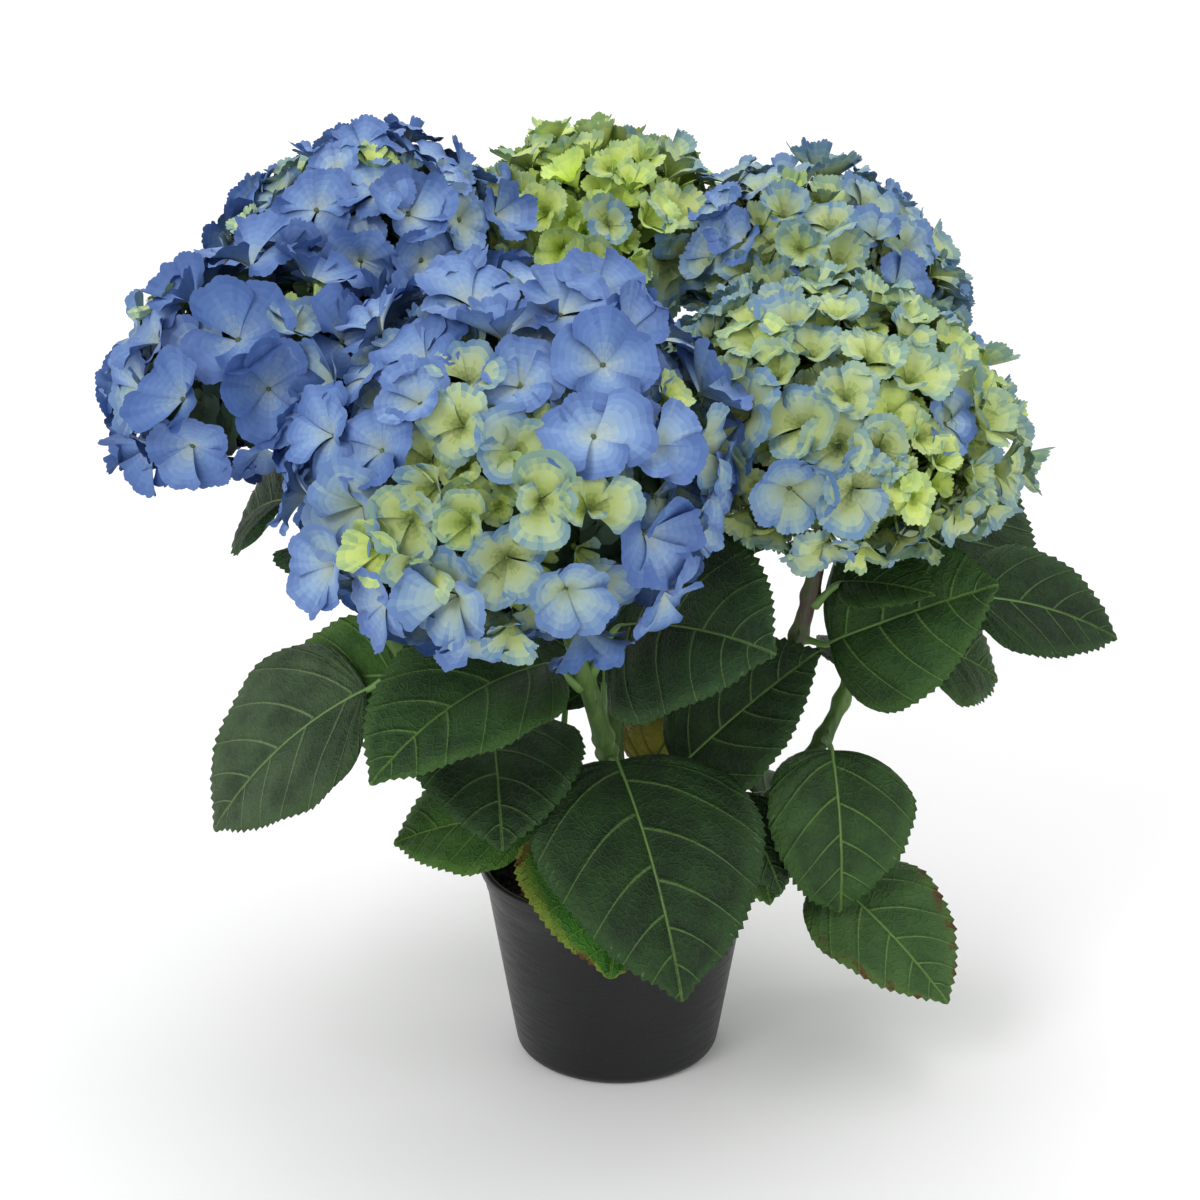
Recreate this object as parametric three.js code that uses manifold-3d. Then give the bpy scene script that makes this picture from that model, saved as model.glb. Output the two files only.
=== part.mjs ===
// A mophead hydrangea in its nursery pot, in millimetres, +Z up, origin at the middle of the
// pot's flat underside. Six tapering stems rise from a short woody crown, each ends under one
// dome of blossom, and single leaf blades on petioles stand in pairs along the stems.
import * as THREE from "three";
import { mergeVertices } from "three/addons/utils/BufferGeometryUtils.js";
import Module from "manifold-3d";

const wasm = await Module();
wasm.setup();

// ---- driving dimensions ----

const GAP = 0.4; // clearance between neighbouring solids

const POT = {
  height: 114,
  footRadius: 56,
  rimRadius: 73.5, // outside of the wall, under the lip
  lipRadius: 76,
  lipHeight: 6,
  wall: 1.8,
  footRound: 7,
  segments: 40,
};
const SOIL_TOP = 100;
const CROWN = { height: 14, footRadius: 27, topRadius: 23 };
const STEM_BASE_Z = SOIL_TOP + CROWN.height + 2 * GAP;
const STEM = { sides: 8, steps: 12, topShare: 0.64 }; // tip radius as a share of foot radius

// Each stem leaves the crown at `foot`, is drawn by the two guide points, and meets the dome of
// blossom whose centre, axis and radius follow.
const STEMS = {
  a: {
    foot: [0, -14],
    guides: [[6, -32, 170], [-18, -52, 250]],
    radius: 6.2,
    dome: { centre: [-54, -102, 376], axis: [-0.15, -0.56, 0.81], radius: 117 },
  },
  b: {
    foot: [-17, -4],
    guides: [[-60, -20, 165], [-150, -20, 270]],
    radius: 5.4,
    dome: { centre: [-186, -26, 398], axis: [-0.38, -0.08, 0.92], radius: 85 },
  },
  c: {
    foot: [-12, 10],
    guides: [[-40, 30, 195], [-120, 50, 320]],
    radius: 5.4,
    dome: { centre: [-132, 72, 432], axis: [-0.22, 0.1, 0.97], radius: 87 },
  },
  d: {
    foot: [3, 15],
    guides: [[-5, 38, 185], [-8, 90, 300]],
    radius: 5.2,
    dome: { centre: [-13, 124, 424], axis: [-0.08, 0.15, 0.98], radius: 76 },
  },
  e: {
    foot: [17, 6],
    guides: [[132, 4, 134], [168, 20, 264]],
    radius: 5.2,
    dome: { centre: [105, 92, 408], axis: [0.25, 0.15, 0.95], radius: 84 },
  },
  f: {
    foot: [15, -10],
    guides: [[60, -14, 158], [110, -20, 236]],
    radius: 6.2,
    dome: { centre: [109, -32, 367], axis: [0.12, -0.15, 0.98], radius: 98 },
  },
};

// Half section of a dome of blossom, as shares of its radius: [out from the axis, up the axis].
const DOME_SECTION = [
  [0, -0.08], [0.12, -0.08], [0.4, -0.13], [0.74, -0.24], [0.94, -0.18],
  [1, 0.02], [0.88, 0.34], [0.66, 0.6], [0.36, 0.75], [0, 0.8],
];
const DOME_SEGMENTS = 18;
const DOME_UNEVEN = 0.035; // how far the lobes stand in and out, as a share of the radius

// Leaves, by stem: [how far up the stem, heading, petiole's rise, petiole's length, blade's pitch
// where it starts, how much it droops by its tip, blade's length, blade's width, roll]. Angles are
// in degrees: heading 0 is +X and 90 is +Y, and a positive roll lifts the blade's left side.
const LEAVES = {
  a: [
    [0.4, -72, 15, 8, -20, 40, 142, 124, 0],
    [0.44, 90, 30, 30, 30, 0, 84, 76, -5],
    [0.6, 220, 40, 26, 5, 45, 122, 98, -10],
    [0.62, -50, 55, 39, 20, 20, 118, 112, 50],
    [0.19, -12, 50, 38, 50, 10, 108, 80, 50],
  ],
  b: [
    [0.54, 180, -35, 22, -28, 34, 121, 101, -34],
    [0.49, 160, 25, 12, -5, 30, 84, 70, -45],
    [0.34, 275, 60, 28, 0, 40, 100, 92, 0],
    [0.06, 175, 42, 20, 0, 28, 84, 82, -25],
    [0.82, 130, -5, 16, -15, 40, 62, 66, -45],
    [0.75, 275, 25, 18, 10, 30, 60, 64, 0],
    [0.4, 145, 10, 24, 0, 50, 112, 84, 0],
  ],
  c: [
    [0.3, 165, 30, 25, 5, 50, 120, 90, 0],
    [0.45, 110, 25, 22, 5, 45, 125, 96, 0],
    [0.62, 150, 20, 20, 10, 40, 105, 84, 0],
    [0.78, 100, 20, 16, 10, 30, 84, 66, 0],
    [0.1, 130, 20, 34, -5, 50, 104, 86, 0],
    [0.2, 85, 45, 20, 30, 20, 84, 64, 0],
  ],
  d: [
    [0.25, 60, 25, 26, 0, 45, 120, 92, 0],
    [0.4, 120, 20, 24, 5, 45, 116, 90, 0],
    [0.58, 70, 20, 20, 10, 40, 110, 84, 0],
    [0.76, 130, 20, 16, 10, 30, 82, 64, 0],
    [0.78, 30, 20, 16, 5, 30, 80, 62, 0],
    [0.08, 55, 40, 24, 35, 30, 80, 62, -5],
  ],
  e: [
    [0.38, -82, 5, 16, -35, 68, 94, 87, -15],
    [0.29, -42, -70, 52, -19, 22, 100, 85, 11],
    [0.62, 45, 5, 12, 20, 10, 116, 118, 35],
    [0.55, 10, 25, 59, -5, 30, 94, 68, 40],
    [0.5, 30, 14, 38, -15, 30, 66, 68, 45],
    [0.15, -60, 30, 19, -50, 20, 48, 48, -10],
    [0.45, 60, 20, 20, 0, 45, 108, 86, 5],
    [0.12, 40, 20, 30, -10, 45, 104, 86, 0],
    [0.8, 95, 15, 18, 5, 30, 84, 66, 0],
  ],
  f: [
    [0.05, -100, 40, 28, 5, 40, 114, 122, 0],
    [0.3, -55, 10, 6, -25, 35, 62, 50, -5],
    [0.68, -25, 5, 11, 30, 5, 104, 100, 60],
    [0.76, -35, 45, 19, 15, 20, 56, 42, 25],
    [0.86, 115, -5, 18, 5, 0, 60, 62, -45],
  ],
};
const BLADE = {
  thickness: 1.4,
  fold: 8, // degrees that each half rises from the midrib
  stations: [0, 0.07, 0.24, 0.44, 0.65, 0.85, 0.985], // along the blade, as shares of its length
  petioleRadius: 1.8,
  tipHalfWidth: 0.8,
};

const COLOURS = {
  pot: "#1d1d20",
  soil: "#2b221b",
  crown: "#6b5a41",
  stems: { a: "#5d7a3a", b: "#5f7c3c", c: "#5f7c3c", d: "#62803e", e: "#55742f", f: "#5b3f45" },
  domes: { a: "#7f9bd6", b: "#4f74c8", c: "#6a8fd0", d: "#b7cf72", e: "#8fb0d8", f: "#c2d49a" },
  leaf: "#2c4f31",
};

// ---- shapes ----

const degrees = THREE.MathUtils.degToRad;
const vector = (point) => new THREE.Vector3(...point);

/** A solid turned about Z from [radius, height] points that start and end on the axis. */
function turned(section, segments) {
  const points = section.map(([radius, height]) => new THREE.Vector2(radius, height));
  return new THREE.LatheGeometry(points, segments).rotateX(Math.PI / 2);
}

/** A closed skin over rings of equal count, each counter-clockwise about the way onwards. */
function loft(rings) {
  const count = rings[0].length;
  const last = (rings.length - 1) * count;
  const index = [];
  for (let ring = 0; ring < rings.length - 1; ring += 1) {
    for (let i = 0; i < count; i += 1) {
      const here = ring * count + i;
      const next = ring * count + ((i + 1) % count);
      index.push(here, next, next + count, here, next + count, here + count);
    }
  }
  for (let i = 1; i < count - 1; i += 1) {
    index.push(0, i + 1, i, last, last + i, last + i + 1);
  }
  const geometry = new THREE.BufferGeometry();
  geometry.setFromPoints(rings.flat());
  geometry.setIndex(index);
  geometry.computeVertexNormals();
  return geometry;
}

/** The pot: tapered wall with a rolled lip, a rounded foot and a flat floor, open at the top. */
function potGeometry() {
  const { height, footRadius, rimRadius, lipRadius, lipHeight, wall, footRound } = POT;
  const lipFoot = height - lipHeight;
  return turned(
    [
      [0, 0],
      [footRadius - footRound, 0],
      [footRadius - footRound * 0.3, footRound * 0.3],
      [footRadius + 0.6, footRound],
      [rimRadius, lipFoot - 1.5],
      [lipRadius, lipFoot],
      [lipRadius, height - 1],
      [lipRadius - 1, height],
      [rimRadius - wall + 0.4, height],
      [rimRadius - wall, lipFoot],
      [footRadius - wall, footRound + wall],
      [footRadius - footRound - wall, wall],
      [0, wall],
    ],
    POT.segments,
  );
}

/** The growing medium: it fills the pot up to a flat top below the rim. */
function soilGeometry() {
  const floor = POT.wall + GAP;
  const lowRadius = POT.footRadius - POT.wall - GAP;
  const share = (SOIL_TOP - POT.footRound) / (POT.height - POT.lipHeight - POT.footRound);
  const topRadius = lowRadius + (POT.rimRadius - POT.footRadius) * share - GAP;
  return turned(
    [
      [0, floor],
      [lowRadius - POT.footRound, floor],
      [lowRadius - GAP, POT.footRound + floor],
      [topRadius, SOIL_TOP],
      [0, SOIL_TOP],
    ],
    POT.segments,
  );
}

/** The woody crown that the stems leave: a low boss, wider at the soil. */
function crownGeometry() {
  const foot = SOIL_TOP + GAP;
  return turned(
    [[0, foot], [CROWN.footRadius, foot], [CROWN.topRadius, foot + CROWN.height], [0, foot + CROWN.height]],
    16,
  );
}

/** Where a stem stops, just under the middle of its dome's underside. */
function stemTop({ dome }) {
  const depth = -DOME_SECTION[0][1] * dome.radius + GAP;
  return vector(dome.centre).addScaledVector(vector(dome.axis).normalize(), -depth);
}

/** A stem's centre line, from the crown to its dome. */
function stemCurve(stem) {
  const foot = new THREE.Vector3(...stem.foot, STEM_BASE_Z);
  return new THREE.CubicBezierCurve3(foot, ...stem.guides.map(vector), stemTop(stem));
}

const stemRadius = (stem, share) => stem.radius * (1 - (1 - STEM.topShare) * share);

/** A tapering stem with a level cut at its foot, and square to its dome at the top. */
function stemGeometry(stem) {
  const curve = stemCurve(stem);
  const rings = [];
  for (let step = 0; step <= STEM.steps; step += 1) {
    const share = step / STEM.steps;
    const centre = curve.getPoint(share);
    let along = curve.getTangent(share);
    if (step === 0) along = new THREE.Vector3(0, 0, 1);
    if (step === STEM.steps) along = vector(stem.dome.axis).normalize();
    const side = new THREE.Vector3(0, 1, 0).cross(along).normalize();
    const other = along.clone().cross(side);
    const ring = [];
    for (let i = 0; i < STEM.sides; i += 1) {
      const turn = (i / STEM.sides) * 2 * Math.PI;
      const radius = stemRadius(stem, share);
      ring.push(
        centre.clone().addScaledVector(side, radius * Math.cos(turn))
          .addScaledVector(other, radius * Math.sin(turn)),
      );
    }
    rings.push(ring);
  }
  return loft(rings);
}

/** A leaf's outline: half its width at a share of its length, round at the base, acute at the tip. */
function halfWidth(share, width) {
  const ovate = (s) => Math.sqrt(s) * (1 - s) ** 0.9;
  return (width / 2) * (ovate(share) / ovate(0.36));
}

/** Unit vector at an elevation in the leaf's own upright plane, X onwards and Z up. */
const heading = (elevation) => new THREE.Vector3(Math.cos(elevation), 0, Math.sin(elevation));

/** A petiole and its blade in one thin closed solid, from the origin, heading along X. */
function leafGeometry([, , rise, petiole, pitch, droop, length, width, roll]) {
  const left = new THREE.Vector3(0, 1, 0);
  const section = (centre, elevation, half, thickness) => {
    const along = heading(elevation);
    const side = left.clone().applyAxisAngle(along, degrees(roll));
    const up = along.clone().cross(side);
    const lift = half * Math.tan(degrees(BLADE.fold));
    const at = (across, height) =>
      centre.clone().addScaledVector(side, across * half).addScaledVector(up, height);
    const deep = thickness / 2;
    return [
      at(1, lift - deep), at(1, lift + deep), at(0, deep),
      at(-1, lift + deep), at(-1, lift - deep), at(0, -deep),
    ];
  };
  const rings = [section(new THREE.Vector3(), degrees(rise), BLADE.petioleRadius, 2 * BLADE.petioleRadius)];
  const bladeFoot = heading(degrees(rise)).multiplyScalar(petiole);
  for (const share of BLADE.stations) {
    // The midrib bends evenly, so it is an arc, and a chord of it reaches this station.
    const turnedBy = degrees(droop) * share;
    const chord = turnedBy === 0 ? 1 : Math.sin(turnedBy / 2) / (turnedBy / 2);
    const reach = heading(degrees(pitch) - turnedBy / 2).multiplyScalar(length * share * chord);
    const least = share < 0.5 ? BLADE.petioleRadius : BLADE.tipHalfWidth;
    const half = Math.max(least, halfWidth(share, width));
    const thickness = share === 0 ? 1.6 * BLADE.petioleRadius : BLADE.thickness;
    rings.push(section(bladeFoot.clone().add(reach), degrees(pitch) - turnedBy, half, thickness));
  }
  return loft(rings);
}

/** The point on a stem's surface that a leaf's petiole leaves, and the leaf's turn about Z. */
function leafPlace(stem, [share, azimuth, rise]) {
  const curve = stemCurve(stem);
  const along = curve.getTangent(share);
  const out = heading(degrees(rise)).applyAxisAngle(new THREE.Vector3(0, 0, 1), degrees(azimuth));
  out.addScaledVector(along, -out.dot(along)).normalize();
  const reach = stemRadius(stem, share) + BLADE.petioleRadius + GAP;
  return curve.getPoint(share).addScaledVector(out, reach);
}

/** A geometry as a manifold solid. */
function toSolid(geometry) {
  const bare = geometry.clone();
  bare.deleteAttribute("normal");
  bare.deleteAttribute("uv");
  const merged = mergeVertices(bare, 1e-4);
  return new wasm.Manifold(
    new wasm.Mesh({
      numProp: 3,
      vertProperties: Float32Array.from(merged.attributes.position.array),
      triVerts: Uint32Array.from(merged.index.array),
    }),
  );
}

/** A manifold solid as a geometry. */
function toGeometry(solid) {
  const { vertProperties, triVerts } = solid.getMesh();
  const geometry = new THREE.BufferGeometry();
  geometry.setAttribute("position", new THREE.BufferAttribute(vertProperties, 3));
  geometry.setIndex(new THREE.BufferAttribute(triVerts, 1));
  geometry.computeVertexNormals();
  return geometry;
}

/** The whole dome of one stem in its own frame, axis up, with shallow lobes round it. */
function wholeDome({ radius }) {
  const geometry = turned(DOME_SECTION.map(([out, up]) => [out * radius, up * radius]), DOME_SEGMENTS);
  const position = geometry.attributes.position;
  for (let i = 0; i < position.count; i += 1) {
    const point = new THREE.Vector3().fromBufferAttribute(position, i);
    const turn = Math.atan2(point.y, point.x);
    const height = point.z / radius;
    const lobe = 1 + DOME_UNEVEN * (Math.sin(5 * turn + 3 * height) + 0.5 * Math.sin(3 * turn - 4 * height));
    position.setXYZ(i, point.x * lobe, point.y * lobe, point.z);
  }
  return toSolid(geometry);
}

const domeTurn = ({ axis }) =>
  new THREE.Quaternion().setFromUnitVectors(new THREE.Vector3(0, 0, 1), vector(axis).normalize());

/** A dome, flattened by a plane wherever a neighbour presses on it. */
function domeGeometry(dome, others) {
  let solid = wholeDome(dome);
  const toLocal = domeTurn(dome).invert();
  for (const other of others) {
    const between = vector(other.centre).sub(vector(dome.centre));
    const apart = between.length();
    if (apart > dome.radius + other.radius) continue;
    // The plane on which points are as deep in one sphere as in the other.
    const reach = (apart ** 2 + dome.radius ** 2 - other.radius ** 2) / (2 * apart);
    const normal = between.normalize().negate().applyQuaternion(toLocal);
    solid = solid.trimByPlane(normal.toArray(), -(reach - GAP));
  }
  return toGeometry(solid);
}

// ---- assembly ----

const hydrangea = new THREE.Group();

function add(parent, name, geometry, colour, roughness) {
  const material = new THREE.MeshStandardMaterial({ color: colour, roughness, metalness: 0 });
  const mesh = new THREE.Mesh(geometry, material);
  mesh.name = name;
  parent.add(mesh);
  return mesh;
}

add(hydrangea, "pot", potGeometry(), COLOURS.pot, 0.45);
add(hydrangea, "growing_medium", soilGeometry(), COLOURS.soil, 0.95);
add(hydrangea, "crown", crownGeometry(), COLOURS.crown, 0.9);

const domes = Object.values(STEMS).map((stem) => stem.dome);
for (const [key, stem] of Object.entries(STEMS)) {
  const shoot = new THREE.Group();
  hydrangea.add(shoot);
  add(shoot, `stem_${key}`, stemGeometry(stem), COLOURS.stems[key], 0.7);

  const others = domes.filter((dome) => dome !== stem.dome);
  const flower = add(shoot, `flower_${key}`, domeGeometry(stem.dome, others), COLOURS.domes[key], 0.8);
  flower.position.copy(vector(stem.dome.centre));
  flower.quaternion.copy(domeTurn(stem.dome));

  LEAVES[key].forEach((leaf, i) => {
    const blade = add(shoot, `leaf_${key}${i + 1}`, leafGeometry(leaf), COLOURS.leaf, 0.55);
    blade.position.copy(leafPlace(stem, leaf));
    blade.rotation.z = degrees(leaf[1]);
  });
}

export default hydrangea;
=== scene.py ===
"""A potted mophead hydrangea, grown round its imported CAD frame.

Lengths are in millimetres and angles in degrees until mesh_object() and the camera turn them
into metres. Bump depths, lamp sizes and the scales of textures placed by an object's own
coordinates are in metres. The tables of stems and leaves repeat the CAD model's, so that every
leaf, stem and head of blossom grows where its plain solid stands.
"""
import math

import bpy
import numpy as np
from numpy.linalg import norm
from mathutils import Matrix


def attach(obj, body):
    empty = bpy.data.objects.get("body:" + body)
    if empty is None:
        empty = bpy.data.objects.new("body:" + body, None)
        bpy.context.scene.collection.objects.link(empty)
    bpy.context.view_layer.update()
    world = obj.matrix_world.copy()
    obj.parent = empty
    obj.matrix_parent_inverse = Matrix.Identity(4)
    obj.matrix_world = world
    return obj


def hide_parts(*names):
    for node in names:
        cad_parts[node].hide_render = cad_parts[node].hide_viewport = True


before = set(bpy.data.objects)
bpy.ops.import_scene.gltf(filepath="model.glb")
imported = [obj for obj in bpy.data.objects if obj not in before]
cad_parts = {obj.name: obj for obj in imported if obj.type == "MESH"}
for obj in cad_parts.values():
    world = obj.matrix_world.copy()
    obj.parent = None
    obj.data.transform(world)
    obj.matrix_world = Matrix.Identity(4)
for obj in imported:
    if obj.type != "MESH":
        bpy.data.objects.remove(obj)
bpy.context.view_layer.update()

MM = 0.001
TURN = 2 * math.pi
BODY = "root"

# ---- the plant's structure, as in the CAD model ----

GAP = 0.4
SOIL_TOP = 100
POT = dict(height=114, foot=56, rim=73.5, lip=76, lip_height=6, wall=1.8, foot_round=7)
CROWN = dict(height=14, foot=27, top=23)
STEM_FOOT = SOIL_TOP + CROWN["height"] + 2 * GAP
STEM_TOP_SHARE = 0.64
DOME_RISE = 0.8  # a dome's height over its widest ring, as a share of its radius
DOME_DROP = 0.3  # and its depth under it
DOME_FLOOR = 0.08
BLADE_FOLD = 8
PETIOLE_RADIUS = 1.8

# Each stem: where it leaves the crown, its two guide points, its foot radius, and the centre,
# axis and radius of the dome of blossom that it carries.
STEMS = {
    "a": dict(foot=(0, -14), guides=((6, -32, 170), (-18, -52, 250)), radius=6.2,
              centre=(-54, -102, 376), axis=(-0.15, -0.56, 0.81), dome=117),
    "b": dict(foot=(-17, -4), guides=((-60, -20, 165), (-150, -20, 270)), radius=5.4,
              centre=(-186, -26, 398), axis=(-0.38, -0.08, 0.92), dome=85),
    "c": dict(foot=(-12, 10), guides=((-40, 30, 195), (-120, 50, 320)), radius=5.4,
              centre=(-132, 72, 432), axis=(-0.22, 0.1, 0.97), dome=87),
    "d": dict(foot=(3, 15), guides=((-5, 38, 185), (-8, 90, 300)), radius=5.2,
              centre=(-13, 124, 424), axis=(-0.08, 0.15, 0.98), dome=76),
    "e": dict(foot=(17, 6), guides=((132, 4, 134), (168, 20, 264)), radius=5.2,
              centre=(105, 92, 408), axis=(0.25, 0.15, 0.95), dome=84),
    "f": dict(foot=(15, -10), guides=((60, -14, 158), (110, -20, 236)), radius=6.2,
              centre=(109, -32, 367), axis=(0.12, -0.15, 0.98), dome=98),
}

# Each leaf: share up its stem, heading, petiole's rise and length, blade's pitch and droop,
# blade's length, width and roll, and the look of its blade.
LEAVES = {
    "a": (
        (0.4, -72, 15, 8, -20, 40, 142, 124, 0, "deep"),
        (0.44, 90, 30, 30, 30, 0, 84, 76, -5, "deep"),
        (0.6, 220, 40, 26, 5, 45, 122, 98, -10, "mid"),
        (0.62, -50, 55, 39, 20, 20, 118, 112, 50, "deep"),
        (0.19, -12, 50, 38, 50, 10, 108, 80, 50, "deep"),
    ),
    "b": (
        # this blade takes the look with painted sheen
        (0.54, 180, -35, 22, -28, 34, 121, 101, -34, "painted_sheen"),
        (0.49, 160, 25, 12, -5, 30, 84, 70, -45, "bright"),
        (0.34, 275, 60, 28, 0, 40, 100, 92, 0, "deep"),
        (0.06, 175, 42, 20, 0, 28, 84, 82, -25, "bright"),
        (0.82, 130, -5, 16, -15, 40, 62, 66, -45, "deep"),
        (0.75, 275, 25, 18, 10, 30, 60, 64, 0, "deep"),
        (0.4, 145, 10, 24, 0, 50, 112, 84, 0, "deep"),
    ),
    "c": (
        (0.3, 165, 30, 25, 5, 50, 120, 90, 0, "deep"),
        (0.45, 110, 25, 22, 5, 45, 125, 96, 0, "deep"),
        (0.62, 150, 20, 20, 10, 40, 105, 84, 0, "mid"),
        (0.78, 100, 20, 16, 10, 30, 84, 66, 0, "mid"),
        (0.1, 130, 20, 34, -5, 50, 104, 86, 0, "bright"),
        (0.2, 85, 45, 20, 30, 20, 84, 64, 0, "deep"),
    ),
    "d": (
        (0.25, 60, 25, 26, 0, 45, 120, 92, 0, "deep"),
        (0.4, 120, 20, 24, 5, 45, 116, 90, 0, "deep"),
        (0.58, 70, 20, 20, 10, 40, 110, 84, 0, "mid"),
        (0.76, 130, 20, 16, 10, 30, 82, 64, 0, "mid"),
        (0.78, 30, 20, 16, 5, 30, 80, 62, 0, "mid"),
        (0.08, 55, 40, 24, 35, 30, 80, 62, -5, "yellow"),
    ),
    "e": (
        (0.38, -82, 5, 16, -35, 68, 94, 87, -15, "mid"),
        (0.29, -42, -70, 52, -19, 22, 100, 85, 11, "scorched"),
        (0.62, 45, 5, 12, 20, 10, 116, 118, 35, "deep"),
        (0.55, 10, 25, 59, -5, 30, 94, 68, 40, "deep"),
        (0.5, 30, 14, 38, -15, 30, 66, 68, 45, "mid"),
        (0.15, -60, 30, 19, -50, 20, 48, 48, -10, "bright"),
        (0.45, 60, 20, 20, 0, 45, 108, 86, 5, "deep"),
        (0.12, 40, 20, 30, -10, 45, 104, 86, 0, "mid"),
        (0.8, 95, 15, 18, 5, 30, 84, 66, 0, "mid"),
    ),
    "f": (
        (0.05, -100, 40, 28, 5, 40, 114, 122, 0, "old"),
        (0.3, -55, 10, 6, -25, 35, 62, 50, -5, "deep"),
        (0.68, -25, 5, 11, 30, 5, 104, 100, 60, "mid"),
        (0.76, -35, 45, 19, 15, 20, 56, 42, 25, "mid"),
        (0.86, 115, -5, 18, 5, 0, 60, 62, -45, "deep"),
    ),
}

# Heads of blossom. size is a floret's width, age runs from 0, a lime bud just opening, to 4, full
# blue; teeth is the depth of the teeth round a sepal. A patch is [heading, rise, spread, size, age]:
# within its spread, in degrees round that direction from the dome's centre, florets take its
# size and age. showy lists the largest florets: [heading, rise, width, age].
HEADS = {
    "a": dict(seed=11, size=54, age=3.3, teeth=0.5, slot="blossom_blue",
              patches=((-94, 4, 36, 42, 1.4), (-18, 26, 10, 26, 0.6), (-125, -14, 9, 32, 1.0)),
              showy=((-131, 39, 54, 3.0), (-21, 72, 58, 3.4), (-40, 48, 58, 3.8), (-59, 27, 56, 3.2),
                     (-38, 20, 58, 3.2), (-49, -3, 64, 3.5), (-144, 1, 62, 2.7), (-105, -20, 56, 2.5),
                     (-72, -17, 58, 2.8), (-90, -8, 50, 2.0), (-79, 10, 46, 1.6), (-113, 13, 42, 1.7),
                     (-87, 26, 42, 1.9), (-112, 51, 38, 2.0), (-30, -4, 48, 2.4))),
    "b": dict(seed=23, size=56, age=3.6, teeth=0.7, slot="blossom_blue",
              patches=((170, 34, 16, 32, 0.9), (-48, 45, 13, 28, 1.0)),
              showy=((-94, 37, 60, 4.0), (-79, 14, 68, 4.0), (-142, 54, 54, 4.0), (-145, 5, 52, 2.8),
                     (-112, -10, 56, 3.8), (-84, -12, 54, 3.8), (-115, 8, 58, 3.9), (-67, 0, 56, 3.8))),
    "c": dict(seed=37, size=44, age=3.3, teeth=1.0, slot="blossom_blue",
              patches=((-160, 20, 16, 32, 1.4), (160, 50, 18, 34, 1.6), (-90, 62, 12, 30, 0.8)),
              showy=((-6, 64, 50, 3.4), (-118, 38, 50, 3.6), (-82, 46, 44, 3.4), (-66, 36, 48, 3.3))),
    "d": dict(seed=41, size=32, age=0.8, teeth=1.0, slot="blossom_lime",
              patches=((-20, 20, 34, 36, 1.4), (150, 30, 36, 34, 1.2)),
              showy=((-82, 27, 36, 1.9), (-53, 8, 38, 1.7))),
    "e": dict(seed=53, size=40, age=2.4, teeth=1.0, slot="blossom_pale",
              patches=((-105, 28, 24, 34, 1.7), (-110, 66, 14, 30, 0.9), (-75, 5, 12, 30, 1.2)),
              showy=((-54, 17, 46, 3.3), (-105, 14, 46, 3.9), (-146, 4, 46, 3.9), (-131, 36, 40, 3.4))),
    "f": dict(seed=67, size=37, age=1.7, teeth=1.0, slot="blossom_pale",
              patches=((-62, 12, 17, 28, 0.7), (-148, 34, 15, 24, 0.7), (-5, 24, 15, 24, 0.8)),
              showy=((-125, 24, 46, 2.0), (-107, 3, 46, 2.5), (-86, 3, 44, 2.0), (-46, 20, 38, 2.7))),
}


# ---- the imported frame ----

def take_place(made, node):
    """Rides the plant's one body, in place of a CAD node if there is one."""
    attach(made, BODY)
    if node:
        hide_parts(node)


# ---- vectors and arrays ----

def unit(vector):
    vector = np.asarray(vector, float)
    return vector / norm(vector, axis=-1, keepdims=True)


def direction(heading, rise):
    """Unit vector at a heading round Z and a rise over the horizon, in degrees."""
    turn, up = math.radians(heading), math.radians(rise)
    return np.array([math.cos(up) * math.cos(turn), math.cos(up) * math.sin(turn), math.sin(up)])


def cubic(share, start, low, high, end):
    """Points at shares along a cubic curve from start to end, guided by low and high."""
    rest = 1 - share
    return rest ** 3 * start + 3 * rest ** 2 * share * low + 3 * rest * share ** 2 * high + share ** 3 * end


def frame_about(axis, turn=0.0):
    """Three unit columns with the last along axis, turned about it by turn radians."""
    axis = unit(axis)
    side = np.array([1.0, 0, 0]) if abs(axis[0]) < 0.9 else np.array([0, 1.0, 0])
    across = unit(side - axis * (side @ axis))
    other = np.cross(axis, across)
    first = across * math.cos(turn) + other * math.sin(turn)
    return np.stack([first, np.cross(axis, first), axis], axis=1)


def grid_quads(rows, columns, closed=False, first=0):
    """Faces over rows of points; closed joins each row's last point to its first."""
    row, column = np.meshgrid(np.arange(rows - 1), np.arange(columns - (not closed)), indexing="ij")
    here = first + row * columns + column
    right = first + row * columns + (column + 1) % columns
    return np.stack([here, right, right + columns, here + columns], axis=-1).reshape(-1, 4)


def tube(path, radii, sides, first=0):
    """Points and faces of a round tube along a path, closed to a blunt point at its ends."""
    path = np.asarray(path, float)
    radii = np.asarray(radii, float)
    along = unit(np.gradient(path, axis=0))
    side = frame_about(along[0])[:, 0]
    turns = np.linspace(0, TURN, sides, endpoint=False)
    rings = []
    for centre, way, radius in zip(path, along, radii):
        side = unit(side - way * (side @ way))
        other = np.cross(way, side)
        ring = np.outer(np.cos(turns), side) + np.outer(np.sin(turns), other)
        rings.append(centre + ring * np.reshape(radius, (-1, 1)))
    ends = [path[0] + (rings[0] - path[0]) * 0.05, path[-1] + (rings[-1] - path[-1]) * 0.05]
    rings = [ends[0], *rings, ends[1]]
    return np.concatenate(rings), grid_quads(len(rings), sides, closed=True, first=first)


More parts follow.
